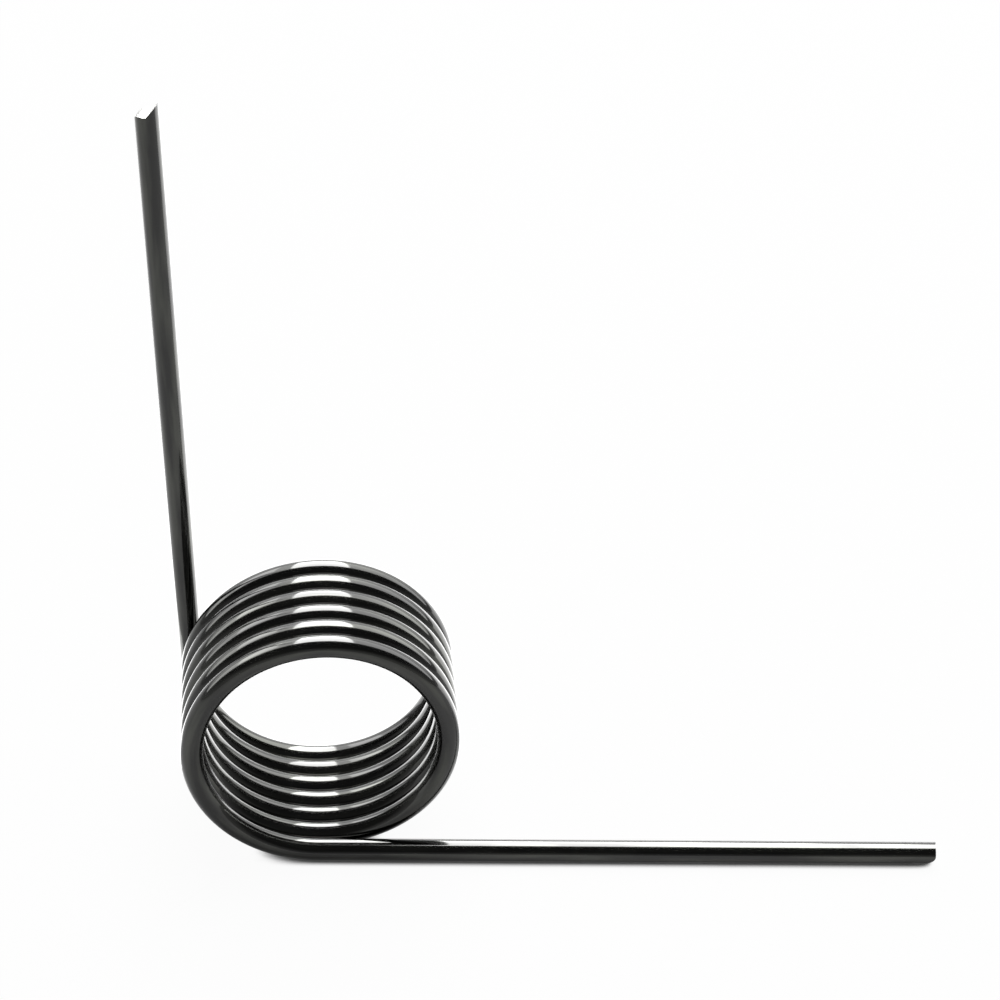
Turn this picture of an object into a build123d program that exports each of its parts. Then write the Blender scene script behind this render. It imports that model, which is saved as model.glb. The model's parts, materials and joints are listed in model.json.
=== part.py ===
"""Torsion spring, wound from one length of round spring wire.

Six turns and about a quarter lie side by side along a level coil axis. The lower leg runs
out along the ground from under the first turn. The upper leg rises from the side of the
last turn, nearly square to the lower one. Each leg leaves the coil along the coil's own
tangent, so the wire has no kink. Both ends are sheared: the blade has drawn the edge in on
the side that it came from, and has left a torn lip on the far side.

The origin is on the coil axis at the middle of the coil. +Y runs along the axis from the
first turn to the last, +X is the side that the lower leg points to, and +Z is up. Lengths
are in millimetres and angles in degrees.
"""
from build123d import *

import os
from math import atan, degrees, pi, radians, tan

# The wire and the coil
wire_diameter = 2.0
coil_inner_diameter = 20.5
turn_gap = 0.1
whole_turns = 6
leg_angle = 93.3

# The legs, each from the point where it leaves the coil to its cut face
lower_leg_length = 55.5
upper_leg_length = 56.0

# The sheared ends: the turn about the wire from straight outwards to the blade's side, and
# the size of the edge drawn in by the blade and of the lip torn up on the far side
lower_blade_turn = 36.0
lower_draw_length = 1.3
lower_draw_depth = 0.75
lower_lip_height = 0.12
lower_lip_width = 0.2
upper_blade_turn = 18.0
upper_draw_length = 0.7
upper_draw_depth = 0.8
upper_lip_height = 0.85
upper_lip_width = 0.75

# The slope at which a drawn-in edge leaves the wire
draw_slope = 5.0

# Sizes that follow from these
wire_radius = wire_diameter / 2
coil_radius = coil_inner_diameter / 2 + wire_radius
pitch = wire_diameter + turn_gap
turns = whole_turns + (180 - leg_angle) / 360
coil_length = pitch * turns
lead_angle = degrees(atan(pitch / (2 * pi * coil_radius)))

# The winding starts at the bottom of the coil and climbs along its axis
coil_plane = Plane(origin=(0, -coil_length / 2, 0), x_dir=(0, 0, -1), z_dir=(0, 1, 0))


def section_plane(turns_wound):
    """Plane across the wire, with X away from the coil axis and Z onwards along the wire."""
    along_coil = Location((0, 0, pitch * turns_wound), (0, 0, 360 * turns_wound))
    across_wire = Location((coil_radius, 0, 0), (lead_angle - 90, 0, 0))
    return Plane(coil_plane.location * along_coil * across_wire)


def facing_back(plane):
    """The same plane, with its Z turned the other way."""
    return Plane(origin=plane.origin, x_dir=plane.x_dir, z_dir=-plane.z_dir)


def cut_plane(leg_root, leg_length, blade_turn):
    """Plane lengthwise through a leg's tip, with X outwards and Y to the blade's side."""
    outwards = leg_root.z_dir
    blade_side = leg_root.x_dir.rotate(Axis((0, 0, 0), outwards), -blade_turn)
    tip = leg_root.offset(leg_length).origin
    return Plane(origin=tip, x_dir=outwards, z_dir=outwards.cross(blade_side))


def offcut(tip_plane, draw_length, draw_depth, lip_height, lip_width):
    """Outline of the metal that a blade takes off the wire, drawn lengthwise through it."""
    draw_rise = tan(radians(draw_slope))
    draw_start = (-draw_length, wire_radius)
    draw_corner = (0, wire_radius - draw_length * draw_rise)
    draw_end = (0, wire_radius - draw_depth)
    lip_root = (0, lip_width - wire_radius)

    # Outside the wire the outline runs on in line with its ends, then round past the tip
    before_draw = (-draw_length - wire_diameter, wire_radius + wire_diameter * draw_rise)
    past_lip = (2 * lip_height, -lip_width - wire_radius)
    clear_of_tip = past_lip[0] + wire_diameter
    with BuildSketch(tip_plane) as outline:
        with BuildLine():
            Line(before_draw, draw_start)
            Bezier(draw_start, draw_corner, draw_end)
            Polyline(draw_end, lip_root, past_lip)
            Polyline(past_lip, (clear_of_tip, past_lip[1]), (clear_of_tip, before_draw[1]),
                     before_draw)
        make_face()
    return outline.sketch


lower_root = facing_back(section_plane(0))
upper_root = section_plane(turns)
coil_line = coil_plane * Helix(pitch, coil_length, coil_radius)
lower_tip = cut_plane(lower_root, lower_leg_length, lower_blade_turn)
upper_tip = cut_plane(upper_root, upper_leg_length, upper_blade_turn)
lower_offcut = offcut(lower_tip, lower_draw_length, lower_draw_depth, lower_lip_height,
                      lower_lip_width)
upper_offcut = offcut(upper_tip, upper_draw_length, upper_draw_depth, upper_lip_height,
                      upper_lip_width)

with BuildPart() as spring:
    # The coil
    with BuildSketch(section_plane(0)):
        Circle(wire_radius)
    sweep(path=coil_line, is_frenet=True)

    # The legs, with some wire beyond the lips for the blade to take off
    with BuildSketch(lower_root):
        Circle(wire_radius)
    extrude(amount=lower_leg_length + lower_lip_height + wire_radius)
    with BuildSketch(upper_root):
        Circle(wire_radius)
    extrude(amount=upper_leg_length + upper_lip_height + wire_radius)

    # The sheared ends
    extrude(lower_offcut, amount=wire_diameter, both=True, mode=Mode.SUBTRACT)
    extrude(upper_offcut, amount=wire_diameter, both=True, mode=Mode.SUBTRACT)

spring.part.label = "spring"

os.makedirs("parts", exist_ok=True)
export_step(spring.part, "parts/spring.step")
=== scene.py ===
"""Torsion spring of oil-tempered steel wire, lying on a white studio floor.

The spring is one length of round wire, so it is one piece here: a fine mesh of the whole wire
with both sheared ends. Each of its points also keeps the place that it had while the wire was
straight, so that the lines left by drawing the wire run along it through every turn.

Lengths are in metres. The origin is on the coil axis at the middle of the coil, +Y runs along
that axis, and +Z is up.
"""
import json
import logging
import math
from dataclasses import dataclass
from enum import Enum, IntEnum
from typing import Any

import bmesh
import bpy
from mathutils import Matrix, Vector


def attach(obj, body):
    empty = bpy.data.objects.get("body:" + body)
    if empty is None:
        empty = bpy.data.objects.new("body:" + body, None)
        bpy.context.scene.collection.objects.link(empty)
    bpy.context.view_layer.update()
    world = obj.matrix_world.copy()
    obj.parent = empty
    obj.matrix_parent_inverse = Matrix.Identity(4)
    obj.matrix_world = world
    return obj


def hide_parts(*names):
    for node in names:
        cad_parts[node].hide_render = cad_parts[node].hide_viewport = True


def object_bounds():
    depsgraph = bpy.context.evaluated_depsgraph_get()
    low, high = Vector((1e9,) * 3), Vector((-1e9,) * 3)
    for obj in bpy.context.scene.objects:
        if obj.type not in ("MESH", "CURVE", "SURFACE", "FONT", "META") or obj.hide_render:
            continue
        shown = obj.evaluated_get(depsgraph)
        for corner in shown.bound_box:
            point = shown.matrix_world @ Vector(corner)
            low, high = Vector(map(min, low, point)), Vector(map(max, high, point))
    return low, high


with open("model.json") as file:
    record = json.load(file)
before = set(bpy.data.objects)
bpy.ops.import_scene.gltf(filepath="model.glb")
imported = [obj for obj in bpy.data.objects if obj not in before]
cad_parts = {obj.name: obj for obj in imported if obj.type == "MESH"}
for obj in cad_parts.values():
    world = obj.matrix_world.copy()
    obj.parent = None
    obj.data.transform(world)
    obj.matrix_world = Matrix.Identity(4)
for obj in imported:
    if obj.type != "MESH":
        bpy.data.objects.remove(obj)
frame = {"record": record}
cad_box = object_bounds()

MM = 0.001
FULL_TURN = 2 * math.pi
log = logging.getLogger("torsion_spring")


class WireLayer(str, Enum):
    """The layers of the wire's mesh that its finishes read."""

    STRAIGHT = "straight_wire"
    WRAP = "wire_wrap"


class Surface(IntEnum):
    """The two surfaces of the spring, numbered as its material slots are."""

    SKIN = 0
    CUT = 1


def linear_colour(code: str) -> tuple[float, float, float, float]:
    """Turns an sRGB hex colour into a linear one.

    Args:
        code: The colour, as in "#40403C".

    Returns:
        Linear red, green and blue, and an alpha of 1.
    """
    parts = [int(code[i:i + 2], 16) / 255 for i in (1, 3, 5)]
    red, green, blue = (p / 12.92 if p <= 0.04045 else ((p + 0.055) / 1.055) ** 2.4 for p in parts)
    return red, green, blue, 1.0


def add_node(tree: bpy.types.NodeTree, kind: str, sockets: dict[Any, Any] | None = None,
             **settings: Any) -> bpy.types.Node:
    """Adds a shader node with its settings and links.

    Args:
        tree: The node tree that it joins.
        kind: Its type, such as "ShaderNodeTexNoise".
        sockets: For each input by name or number, a constant or the socket that feeds it.
        **settings: The node's own properties.

    Returns:
        The new node.
    """
    node = tree.nodes.new(kind)
    for name, value in settings.items():
        setattr(node, name, value)
    for name, value in (sockets or {}).items():
        if isinstance(value, bpy.types.NodeSocket):
            tree.links.new(value, node.inputs[name])
        else:
            node.inputs[name].default_value = value
    return node


def blank_material(name: str) -> tuple[bpy.types.Material, bpy.types.NodeTree]:
    """Makes a material with an empty node tree."""
    material = bpy.data.materials.new(name)
    material.use_nodes = True
    material.node_tree.nodes.clear()
    return material, material.node_tree


@dataclass(frozen=True)
class TemperedSteel:
    """Oil-tempered spring steel, drawn: a thin dark oxide skin over a smooth wire, oiled.

    The skin gives a near-black metal, with a faint olive cast where it is thinner. Drawing
    leaves fine lines along the wire, which spread each highlight across it and not along it.
    The film of oil adds a crisp highlight and pale rims.
    """

    name: str = "oil_tempered_spring_steel_drawn"
    skin_colour: str = "#1F1F1E"
    worn_colour: str = "#3F403B"
    roughness: float = 0.14
    roughness_change: float = 0.04
    anisotropy: float = 0.9
    oil_roughness: float = 0.08
    # True drawing lines are about 0.02 mm wide, too fine to show, so these are coarser
    line_width: float = 0.16 * MM
    line_length: float = 22 * MM
    line_depth: float = 0.001 * MM
    # Patches where the oxide is thinner
    patch_width: float = 0.9 * MM
    patch_length: float = 9 * MM

    def streaks(self, tree: bpy.types.NodeTree, width: float, length: float,
                detail: float) -> bpy.types.NodeSocket:
        """Noise drawn out along the straight wire.

        Args:
            tree: The material's node tree.
            width: Size of a streak across the wire.
            length: Size of a streak along the wire.
            detail: Octaves of finer noise.

        Returns:
            The noise's value, from 0 to 1.
        """
        place = add_node(tree, "ShaderNodeAttribute", attribute_name=WireLayer.STRAIGHT.value)
        scaled = add_node(tree, "ShaderNodeMapping", {
            "Vector": place.outputs["Vector"],
            "Scale": (1 / length, 1 / width, 1 / width)})
        noise = add_node(tree, "ShaderNodeTexNoise", {
            "Vector": scaled.outputs["Vector"], "Scale": 1.0, "Detail": detail})
        return noise.outputs["Fac"]

    def material(self) -> bpy.types.Material:
        """Builds the material."""
        material, tree = blank_material(self.name)
        patches = self.streaks(tree, self.patch_width, self.patch_length, 3.0)
        lines = self.streaks(tree, self.line_width, self.line_length, 2.0)
        worn = add_node(tree, "ShaderNodeMapRange", {
            "Value": patches, "From Min": 0.42, "From Max": 0.68})
        colour = add_node(tree, "ShaderNodeMix", {
            "Factor": worn.outputs["Result"],
            6: linear_colour(self.skin_colour),
            7: linear_colour(self.worn_colour)}, data_type="RGBA")
        gloss = add_node(tree, "ShaderNodeMapRange", {
            "Value": patches, "From Min": 0.3, "From Max": 0.7,
            "To Min": self.roughness + self.roughness_change / 2,
            "To Max": self.roughness - self.roughness_change / 2})
        grooves = add_node(tree, "ShaderNodeBump", {
            "Height": lines, "Distance": self.line_depth, "Strength": 1.0})
        around = add_node(tree, "ShaderNodeTangent", direction_type="UV_MAP",
                          uv_map=WireLayer.WRAP.value)
        steel = add_node(tree, "ShaderNodeBsdfPrincipled", {
            "Base Color": colour.outputs[2], "Metallic": 1.0,
            "Roughness": gloss.outputs["Result"], "Anisotropic": self.anisotropy,
            "Tangent": around.outputs["Tangent"], "Normal": grooves.outputs["Normal"],
            "Coat Weight": 1.0, "Coat Roughness": self.oil_roughness})
        add_node(tree, "ShaderNodeOutputMaterial", {"Surface": steel.outputs["BSDF"]})
        return material


@dataclass(frozen=True)
class ShearedSteel:
    """Bare spring steel, sheared: the face that a cropping blade leaves on the wire.

    It is the only bright metal on the spring. Fine ridges break its highlights up, and where
    the metal tore it is greyer and duller than where the blade slid over it.
    """

    name: str = "bare_spring_steel_sheared"
    slid_colour: str = "#C9C9C6"
    torn_colour: str = "#77777A"
    slid_roughness: float = 0.32
    torn_roughness: float = 0.55
    patch_width: float = 0.9 * MM
    ridge_width: float = 0.12 * MM
    ridge_depth: float = 0.004 * MM

    def material(self) -> bpy.types.Material:
        """Builds the material."""
        material, tree = blank_material(self.name)
        place = add_node(tree, "ShaderNodeAttribute", attribute_name=WireLayer.STRAIGHT.value)
        fine, broad = (add_node(tree, "ShaderNodeTexNoise", {
            "Vector": place.outputs["Vector"], "Scale": 1 / width, "Detail": 3.0})
            for width in (self.ridge_width, self.patch_width))
        torn = add_node(tree, "ShaderNodeMapRange", {
            "Value": broad.outputs["Fac"], "From Min": 0.48, "From Max": 0.62})
        colour = add_node(tree, "ShaderNodeMix", {
            "Factor": torn.outputs["Result"], 6: linear_colour(self.slid_colour),
            7: linear_colour(self.torn_colour)}, data_type="RGBA")
        dullness = add_node(tree, "ShaderNodeMapRange", {
            "Value": torn.outputs["Result"], "To Min": self.slid_roughness,
            "To Max": self.torn_roughness})
        ridges = add_node(tree, "ShaderNodeBump", {
            "Height": fine.outputs["Fac"], "Distance": self.ridge_depth, "Strength": 1.0})
        steel = add_node(tree, "ShaderNodeBsdfPrincipled", {
            "Base Color": colour.outputs[2], "Metallic": 1.0,
            "Roughness": dullness.outputs["Result"], "Normal": ridges.outputs["Normal"]})
        add_node(tree, "ShaderNodeOutputMaterial", {"Surface": steel.outputs["BSDF"]})
        return material


def curve_share(start: float, corner: float, end: float, value: float) -> float:
    """The share of a quadratic Bezier curve at which one of its coordinates has a value.

    Args:
        start: That coordinate where the curve starts.
        corner: That coordinate at the curve's middle control point.
        end: That coordinate where the curve ends.
        value: The value that it passes through, once, on the way.

    Returns:
        The share, from 0 at the start to 1 at the end.
    """
    square, linear, constant = start - 2 * corner + end, 2 * (corner - start), start - value
    if abs(square) < 1e-12:
        return -constant / linear
    root = math.sqrt(max(linear * linear - 4 * square * constant, 0.0))
    shares = [(-linear + sign * root) / (2 * square) for sign in (1, -1)]
    return min(max(min(shares, key=lambda share: abs(share - 0.5)), 0.0), 1.0)


@dataclass(frozen=True)
class Shear:
    """How the blade left one end of the wire."""

    blade_turn: float
    draw_length: float
    draw_depth: float
    lip_height: float
    lip_width: float
    draw_slope: float = math.radians(5.0)
    skin_drawn_over: bool = True

    def stand(self, across: float, wire_radius: float) -> float:
        """How far the metal stands past the cut face, or short of it where that is negative.

        Args:
            across: Distance from the wire's middle towards the blade's side.
            wire_radius: Half the wire's thickness.

        Returns:
            The distance, outwards along the leg.
        """
        draw_end = wire_radius - self.draw_depth
        lip_root = self.lip_width - wire_radius
        if across > draw_end:
            corner = wire_radius - self.draw_length * math.tan(self.draw_slope)
            share = curve_share(wire_radius, corner, draw_end, across)
            return -self.draw_length * (1 - share) ** 2
        if across < lip_root:
            return self.lip_height * (lip_root - across) / self.lip_width
        return 0.0


@dataclass(frozen=True)
class Leg:
    """One straight leg, from where it leaves the coil to its cut face."""

    root: Vector
    tip: Vector
    shear: Shear

    @classmethod
    def from_mount(cls, mount: dict[str, Any], shear: Shear) -> "Leg":
        """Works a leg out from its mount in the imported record.

        Args:
            mount: The mount, at the middle of the stretch of leg that is clear of the coil.
            shear: How its end was cut.

        Returns:
            The leg. Its root is where its line comes nearest to the coil axis.
        """
        middle, outwards = Vector(mount["pos_m"]), Vector(mount["axis"]).normalized()
        flat = Vector((outwards.x, 0, outwards.z))
        root = middle - outwards * (middle.dot(flat) / flat.length_squared)
        tip = middle + outwards * (mount["dims"]["length_mm"] * MM / 2)
        return cls(root, tip, shear)

    @property
    def outwards(self) -> Vector:
        """The way the leg points."""
        return (self.tip - self.root).normalized()

    @property
    def length(self) -> float:
        """The leg's length up to its cut face."""
        return (self.tip - self.root).length

    @property
    def off_axis(self) -> Vector:
        """The way straight out from the coil axis at the leg's root."""
        return Vector((self.root.x, 0, self.root.z)).normalized()

    @property
    def blade_side(self) -> Vector:
        """The way across the wire to the side that the blade came from."""
        return Matrix.Rotation(-self.shear.blade_turn, 3, self.outwards) @ self.off_axis


@dataclass(frozen=True)
class TorsionSpring:
    """The spring's wire: a lower leg, the close coil and an upper leg, in one piece."""

    wire_radius: float
    lower: Leg
    upper: Leg
    sides: int = 64
    rings_per_turn: int = 128
    leg_ring_gap: float = 5 * MM
    shear_steps: int = 8
    # Points of the cut face that lie nearer than this to a line across it count as on the line
    snap: float = 0.0005 * MM
    sharp_angle: float = math.radians(35)
    # How far out from a leg's middle its surface may lie, in wire radii
    leg_reach: float = 1.02

    @classmethod
    def from_record(cls, record: dict[str, Any]) -> "TorsionSpring":
        """Reads the spring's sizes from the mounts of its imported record."""
        mounts = {mount["name"]: mount for mount in record["mounts"]}
        lower = Leg.from_mount(mounts["lower_leg"], Shear(
            blade_turn=math.radians(36), draw_length=1.3 * MM, draw_depth=0.75 * MM,
            lip_height=0.12 * MM, lip_width=0.2 * MM))
        upper = Leg.from_mount(mounts["upper_leg"], Shear(
            blade_turn=math.radians(18), draw_length=0.7 * MM, draw_depth=0.8 * MM,
            lip_height=0.85 * MM, lip_width=0.75 * MM, skin_drawn_over=False))
        return cls(mounts["lower_leg"]["dims"]["r_mm"] * MM, lower, upper)

    @property
    def coil_radius(self) -> float:
        """Radius of the coil at the middle of its wire."""
        return math.hypot(self.lower.root.x, self.lower.root.z)

    @property
    def coil_length(self) -> float:
        """Length of the coil along its axis, between the middles of its first and last wire."""
        return self.upper.root.y - self.lower.root.y

    @property
    def turns(self) -> float:
        """Turns in the coil: as many whole ones as its length holds, and a part of one."""
        part = self.turn_of(self.upper.root)
        return part + math.floor(self.coil_length / (2 * self.wire_radius) - part)

    @property
    def coiled_wire(self) -> float:
        """Length of the wire in the coil."""
        return math.hypot(self.turns * FULL_TURN * self.coil_radius, self.coil_length)

    @staticmethod
    def turn_of(place: Vector) -> float:
        """The part of a turn, from the bottom of the coil the way it winds, to a place."""
        return math.atan2(-place.x, -place.z) / FULL_TURN % 1.0

    def straightened(self, place: Vector) -> Vector:
        """Where a point of the spring lay while its wire was straight.

        Args:
            place: The point on the spring.

        Returns:
            The point's place along the wire from the lower leg's root, out from the coil axis,
            and square to both.
        """
        for leg, start, way in ((self.lower, 0.0, -1), (self.upper, self.coiled_wire, 1)):
            ahead = (place - leg.root).dot(leg.outwards)
            off = place - leg.root - leg.outwards * ahead
            if ahead >= 0 and off.length < self.leg_reach * self.wire_radius:
                side = (leg.outwards * way).cross(leg.off_axis)
                return Vector((start + ahead * way, off.dot(leg.off_axis), off.dot(side)))
        pitch = self.coil_length / self.turns
        part = self.turn_of(place)
        wound = part + round((place.y - self.lower.root.y) / pitch - part)
        across = self.lower.root.y + pitch * wound - place.y
        out = math.hypot(place.x, place.z) - self.coil_radius
        return Vector((self.coiled_wire * wound / self.turns, out, across))

    def draw_leg(self, bm: bmesh.types.BMesh, ring: list[bmesh.types.BMEdge],
                 stops: list[Vector]) -> list[bmesh.types.BMEdge]:
        """Draws the wire on in a straight line.

        Args:
            bm: The wire's mesh.
            ring: Edges of its open end, round the first stop.
            stops: Places of the wire's middle, one for each ring.

        Returns:
            Edges of the new open end.
        """
        for start, end in zip(stops, stops[1:]):
            grown = bmesh.ops.extrude_edge_only(bm, edges=ring)["geom"]
            verts = [item for item in grown if isinstance(item, bmesh.types.BMVert)]
            bmesh.ops.translate(bm, verts=verts, vec=end - start)
            fresh = set(verts)
            ring = [item for item in grown if isinstance(item, bmesh.types.BMEdge)
                    and fresh.issuperset(item.verts)]
        return ring

    def wind_coil(self, bm: bmesh.types.BMesh,
                  ring: list[bmesh.types.BMEdge]) -> list[bmesh.types.BMEdge]:
        """Winds the coil on from the lower leg's root.

        Args:
            bm: The wire's mesh.
            ring: Edges of its open end, at that root.

        Returns:
            Edges of the new open end, at the upper leg's root.
        """
        steps = round(self.turns * self.rings_per_turn)
        verts = list({vert for edge in ring for vert in edge.verts})
        last = bmesh.ops.spin(
            bm, geom=verts + ring, cent=(0, 0, 0), axis=(0, 1, 0), angle=FULL_TURN * self.turns,
            dvec=(0, self.coil_length / steps, 0), steps=steps, use_merge=False,
            use_normal_flip=False, use_duplicate=False)["geom_last"]
        return [item for item in last if isinstance(item, bmesh.types.BMEdge)]

    def leg_stops(self, leg: Leg) -> list[Vector]:
        """Places of a leg's rings, from its root to its cut face."""
        plain = leg.length - leg.shear.draw_length - self.wire_radius
        count = math.ceil(plain / self.leg_ring_gap)
        stops = [leg.root + leg.outwards * (plain * i / count) for i in range(count + 1)]
        return stops + [leg.tip]

    def shear_end(self, bm: bmesh.types.BMesh, rim: list[bmesh.types.BMEdge], leg: Leg) -> None:
        """Closes an open end of the wire with the face that the blade left.

        Args:
            bm: The wire's mesh.
            rim: Edges of the open end.
            leg: The leg that it ends.
        """
        radius, shear = self.wire_radius, leg.shear
        shares = [i / self.shear_steps for i in range(self.shear_steps)]
        draw = [radius - shear.draw_depth * (1 - share ** 2) for share in shares]
        lip = [shear.lip_width - radius]
        face = bmesh.ops.edgeloop_fill(bm, edges=rim, mat_nr=Surface.CUT)["faces"][0]
        geom = [face, *face.edges, *face.verts]
        across = leg.outwards.cross(leg.blade_side)
        lines = [(leg.blade_side, at) for at in draw + lip] + [(across, 0.0)]
        for normal, at in lines:
            geom = bmesh.ops.bisect_plane(bm, geom=geom, dist=self.snap, plane_no=normal,
                                          plane_co=leg.tip + normal * at)["geom"]
        faces = [item for item in geom if isinstance(item, bmesh.types.BMFace)]
        for face in faces:
            at = (face.calc_center_median() - leg.tip).dot(leg.blade_side)
            skinned = shear.skin_drawn_over and at > radius - shear.draw_depth
            face.material_index = Surface.SKIN if skinned else Surface.CUT
        for vert in {vert for face in faces for vert in face.verts}:
            at = (vert.co - leg.tip).dot(leg.blade_side)
            vert.co += leg.outwards * shear.stand(at, radius)

    def mesh(self) -> bpy.types.Mesh:
        """Builds the wire's mesh, from the lower leg's end to the upper leg's."""
        bm = bmesh.new()
        onwards = -self.lower.outwards
        out = self.lower.off_axis
        turned = Matrix((out, onwards.cross(out), onwards)).transposed().to_4x4()
        made = bmesh.ops.create_circle(bm, cap_ends=False, segments=self.sides,
                                       radius=self.wire_radius,
                                       matrix=Matrix.Translation(self.lower.tip) @ turned)
        lower_rim = list({edge for vert in made["verts"] for edge in vert.link_edges})
        ring = self.draw_leg(bm, lower_rim, self.leg_stops(self.lower)[::-1])
        ring = self.wind_coil(bm, ring)
        upper_rim = self.draw_leg(bm, ring, self.leg_stops(self.upper))
        self.shear_end(bm, lower_rim, self.lower)
        self.shear_end(bm, upper_rim, self.upper)
        bmesh.ops.recalc_face_normals(bm, faces=bm.faces)
        mesh = bpy.data.meshes.new("wire")
        bm.to_mesh(mesh)
        bm.free()
        mesh.shade_smooth()
        mesh.set_sharp_from_angle(angle=self.sharp_angle)
        return mesh

    def lay_out(self, mesh: bpy.types.Mesh) -> None:
        """Gives the mesh each point's place on the straight wire, and a wrap round the wire."""
        places = [self.straightened(vert.co) for vert in mesh.vertices]
        layer = mesh.attributes.new(WireLayer.STRAIGHT.value, "FLOAT_VECTOR", "POINT")
        layer.data.foreach_set("vector", [part for place in places for part in place])
        wrap = mesh.uv_layers.new(name=WireLayer.WRAP.value)
        girth = FULL_TURN * self.wire_radius
        for face in mesh.polygons:
            points = [places[vertex] for vertex in face.vertices]
            shares = [math.atan2(point.z, point.y) / FULL_TURN for point in points]
            for loop, point, share in zip(face.loop_indices, points, shares):
                over_seam = max(shares) - share > 0.5
                wrap.data[loop].uv = (share + over_seam, point.x / girth)

    def build(self) -> bpy.types.Object:
        """Makes the wire, finished and in its place on the frame."""
        mesh = self.mesh()
        self.lay_out(mesh)
        mesh.materials.append(TemperedSteel().material())
        mesh.materials.append(ShearedSteel().material())
        piece = bpy.data.objects.new("wire", mesh)
        bpy.context.scene.collection.objects.link(piece)
        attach(piece, "root")
        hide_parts("spring")
        return piece


def level_sheet(name: str, size: tuple[float, float], place: Vector,
                material: bpy.types.Material) -> bpy.types.Object:
    """Lays out a level rectangle that belongs to the studio and not to the spring.

    Args:
        name: The object's name.
        size: Its length in X and in Y.
        place: Its middle.
        material: Its finish.

    Returns:
        The sheet.
    """
    bm = bmesh.new()
    bmesh.ops.create_grid(bm, x_segments=1, y_segments=1, size=0.5,
                          matrix=Matrix.Translation(place) @ Matrix.Diagonal((*size, 1, 1)))
    mesh = bpy.data.meshes.new(name)
    bm.to_mesh(mesh)
    bm.free()
    mesh.materials.append(material)
    sheet = bpy.data.objects.new(name, mesh)
    bpy.context.scene.collection.objects.link(sheet)
    return sheet


def glowing_card(name: str, size: tuple[float, float], place: Vector,
                 radiance: float) -> bpy.types.Object:
    """Lays out a glowing card, which only a glossy surface shows.

    Args:
        name: The card's name.
        size: Its length in X and in Y.
        place: Its middle.
        radiance: How bright it is. Plain white is 1.

    Returns:
        The card.
    """
    material, tree = blank_material(f"{name}_cloth_lit")
    glow = add_node(tree, "ShaderNodeEmission", {"Strength": radiance})
    add_node(tree, "ShaderNodeOutputMaterial", {"Surface": glow.outputs[0]})
    material.cycles.emission_sampling = "NONE"
    card = level_sheet(name, size, place, material)
    card.visible_camera = card.visible_diffuse = card.visible_shadow = False
    return card


@dataclass(frozen=True)
class Panel:
    """A level panel of light over the spring. A radiance of 1 is white.

    Its four sides are distances from the spring, as shares of the panel's height over it.
    """

    name: str
    left: float
    right: float
    front: float
    back: float
    radiance: float
    height: float = 1.0

    @property
    def size(self) -> tuple[float, float]:
        """Its length in X and in Y."""
        return self.height * (self.right - self.left), self.height * (self.back - self.front)

    @property
    def place(self) -> Vector:
        """Its middle."""
        return self.height * Vector(((self.left + self.right) / 2, (self.front + self.back) / 2, 1))

    def hang_lamp(self) -> bpy.types.Object:
        """Hangs it as a lamp, which lights matt surfaces and is in no reflection."""
        lamp = bpy.data.lights.new(self.name, "AREA")
        lamp.shape = "RECTANGLE"
        lamp.size, lamp.size_y = self.size
        lamp.energy = self.radiance * lamp.size * lamp.size_y * math.pi
        hung = bpy.data.objects.new(self.name, lamp)
        hung.location = self.place
        hung.visible_camera = hung.visible_glossy = False
        bpy.context.scene.collection.objects.link(hung)
        return hung

    def hang_card(self) -> bpy.types.Object:
        """Hangs it as a glowing card, which only a glossy surface shows."""
        return glowing_card(self.name, self.size, self.place, self.radiance)


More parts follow.
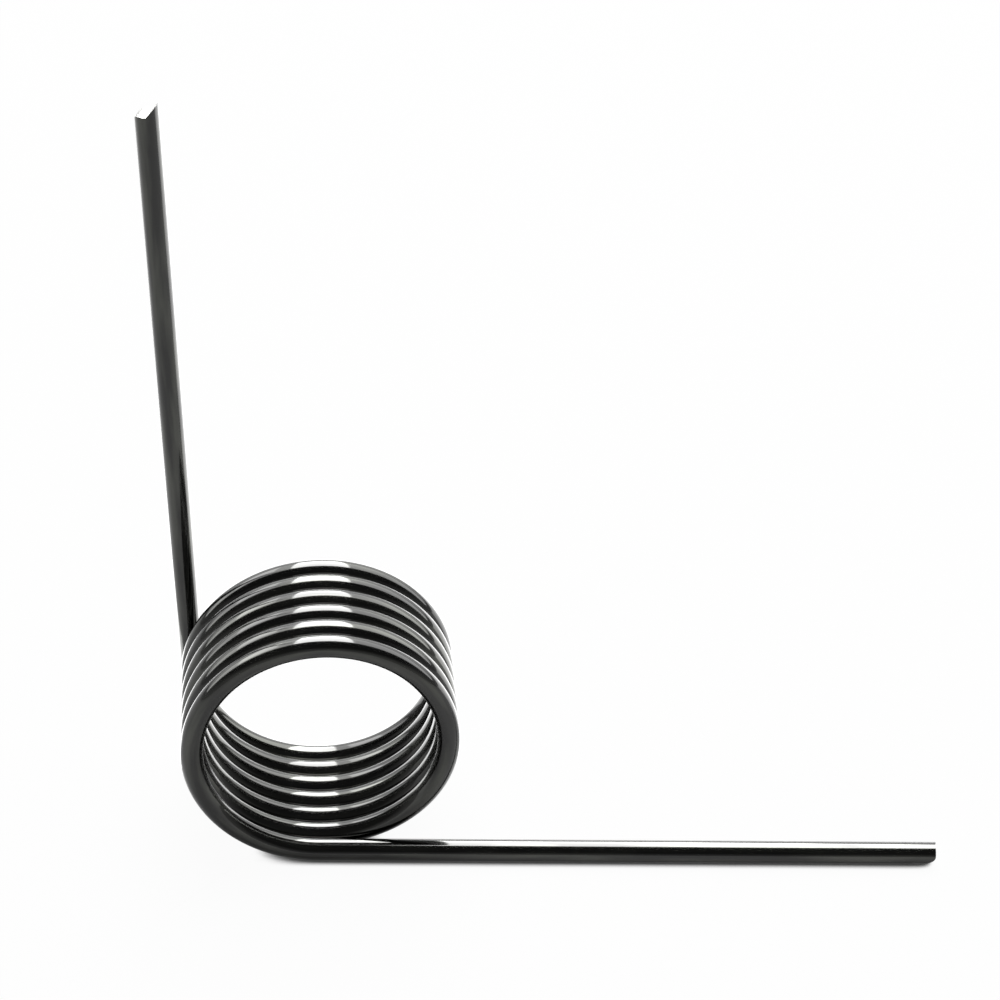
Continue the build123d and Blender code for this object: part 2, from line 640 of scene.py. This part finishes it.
@dataclass(frozen=True)
class Studio:
    """The white floor, the lamps, the dim room and the camera."""

    floor_level: float
    floor_size: float = 8.0
    paper_colour: str = "#F4F4F4"
    # Shares of plain white in the paper as the camera and as glossy metal see it
    paper_white_seen: float = 0.96
    paper_white_mirrored: float = 0.1
    # How far the ambient-occlusion mask reaches that paints a contact shadow, by taking the glow
    # off the paper near the spring
    painted_shadow_reach: float = 2 * MM
    # The room's light low down and high up, and the rise along a line at which it is that high
    room_colour: str = "#FFFFFF"
    wall_light: float = 0.4
    upper_light: float = 0.08
    upper_light_rise: float = 0.4
    # Left, right, front and back of the stretch of table that glows
    glow_sides: tuple[float, float, float, float] = (-30 * MM, 600 * MM, 4 * MM, 500 * MM)
    glow_lift: float = 0.3 * MM
    glow_radiance: float = 2.5
    lens: float = 112.07
    near_clip: float = 10 * MM
    camera_place: tuple[float, float, float] = (-9.162 * MM, -211.749 * MM, 179.06 * MM)
    camera_azimuth: float = math.radians(6.504)
    camera_elevation: float = math.radians(36.283)
    camera_roll: float = math.radians(3.617)

    def paper(self) -> bpy.types.Material:
        """White seamless paper: all but white to the camera, save close in under the spring, where
        an ambient-occlusion mask takes the white glow away so that the lit paper's real shade
        shows: a painted contact shadow.
        """
        material, tree = blank_material("white_seamless_paper")
        rays = add_node(tree, "ShaderNodeLightPath")
        # Painted contact shadow: nearness to the spring, by ambient occlusion, takes the white glow
        # away where the camera looks
        contact_shadow_nearness = add_node(tree, "ShaderNodeAmbientOcclusion", {"Distance": self.painted_shadow_reach},
                            samples=16)
        clear = add_node(tree, "ShaderNodeMapRange", {
            "Value": contact_shadow_nearness.outputs["AO"], "From Min": 0.2, "From Max": 0.6,
            "To Max": self.paper_white_seen}, interpolation_type="SMOOTHSTEP")
        seen = add_node(tree, "ShaderNodeMath", {
            0: rays.outputs["Is Camera Ray"], 1: clear.outputs["Result"]}, operation="MULTIPLY")
        mirrored = add_node(tree, "ShaderNodeMath", {
            0: rays.outputs["Is Glossy Ray"], 1: rays.outputs["Is Transmission Ray"]},
            operation="MAXIMUM")
        white_share = add_node(tree, "ShaderNodeMath", {
            0: mirrored.outputs[0], 1: self.paper_white_mirrored, 2: seen.outputs[0]},
            operation="MULTIPLY_ADD")
        paper = add_node(tree, "ShaderNodeBsdfDiffuse", {"Color": linear_colour(self.paper_colour)})
        white = add_node(tree, "ShaderNodeEmission", {"Strength": 1.0})
        mixed = add_node(tree, "ShaderNodeMixShader", {
            0: white_share.outputs[0], 1: paper.outputs[0], 2: white.outputs[0]})
        add_node(tree, "ShaderNodeOutputMaterial", {"Surface": mixed.outputs[0]})
        return material

    def light_room(self) -> None:
        """Fills the room with dim light, a little stronger low down."""
        world = bpy.data.worlds.new("room")
        world.use_nodes = True
        tree = world.node_tree
        tree.nodes.clear()
        way = add_node(tree, "ShaderNodeTexCoord")
        height = add_node(tree, "ShaderNodeSeparateXYZ", {0: way.outputs["Generated"]})
        strength = add_node(tree, "ShaderNodeMapRange", {
            "Value": height.outputs["Z"], "From Min": 0.0, "From Max": self.upper_light_rise,
            "To Min": self.wall_light, "To Max": self.upper_light})
        room = add_node(tree, "ShaderNodeBackground", {
            "Color": linear_colour(self.room_colour), "Strength": strength.outputs["Result"]})
        add_node(tree, "ShaderNodeOutputWorld", {"Surface": room.outputs[0]})
        bpy.context.scene.world = world

    def hang_lights(self) -> None:
        """Hangs the key lamp, and the softbox and ceiling that the wire mirrors."""
        key = Panel("key", left=-0.3, right=0.6, front=0.0, back=1.6, radiance=4.2)
        softbox = Panel("softbox", left=-0.3, right=0.43, front=0.03, back=2.1, radiance=15.5)
        left_panel = Panel("left_panel", left=-1.6, right=-0.55, front=0.2, back=1.3,
                           radiance=7.0, height=1.1)
        near_ceiling = Panel("near_ceiling", left=-12.0, right=12.0, front=0.0, back=1.4,
                             radiance=3.9, height=1.2)
        far_ceiling = Panel("far_ceiling", left=-12.0, right=12.0, front=near_ceiling.back,
                            back=9.0, radiance=1.6, height=near_ceiling.height)
        key.hang_lamp()
        for card in (softbox, left_panel, near_ceiling, far_ceiling):
            card.hang_card()

    def light_table(self) -> None:
        """Lights the table up behind the spring, which gives the wire its bright rims."""
        left, right, front, back = self.glow_sides
        middle = Vector(((left + right) / 2, (front + back) / 2, self.floor_level + self.glow_lift))
        glowing_card("table_glow", (right - left, back - front), middle, self.glow_radiance)

    def place_camera(self) -> None:
        """Places the camera, above and in front of the coil's first turn."""
        camera = bpy.data.cameras.new("camera")
        camera.lens = self.lens
        camera.clip_start = self.near_clip
        held = bpy.data.objects.new("camera", camera)
        turned = (Matrix.Rotation(-self.camera_azimuth, 4, "Z")
                  @ Matrix.Rotation(math.pi / 2 - self.camera_elevation, 4, "X")
                  @ Matrix.Rotation(self.camera_roll, 4, "Z"))
        held.matrix_world = Matrix.Translation(self.camera_place) @ turned
        bpy.context.scene.collection.objects.link(held)
        bpy.context.scene.camera = held

    def build(self) -> None:
        """Sets the studio up."""
        size = (self.floor_size, self.floor_size)
        level_sheet("floor", size, Vector((0, 0, self.floor_level)), self.paper())
        self.light_room()
        self.hang_lights()
        self.light_table()
        self.place_camera()
        bpy.context.scene.view_settings.view_transform = "Standard"


def main() -> None:
    """Builds the spring and its studio."""
    logging.basicConfig(level=logging.INFO, format="%(message)s")
    spring = TorsionSpring.from_record(frame["record"])
    wire = spring.build()
    log.info("wire: %.3f turns, %d faces", spring.turns, len(wire.data.polygons))
    Studio(floor_level=cad_box[0].z).build()
    log.info("studio: floor at %.2f mm", cad_box[0].z / MM)


if __name__ == "__main__":
    main()
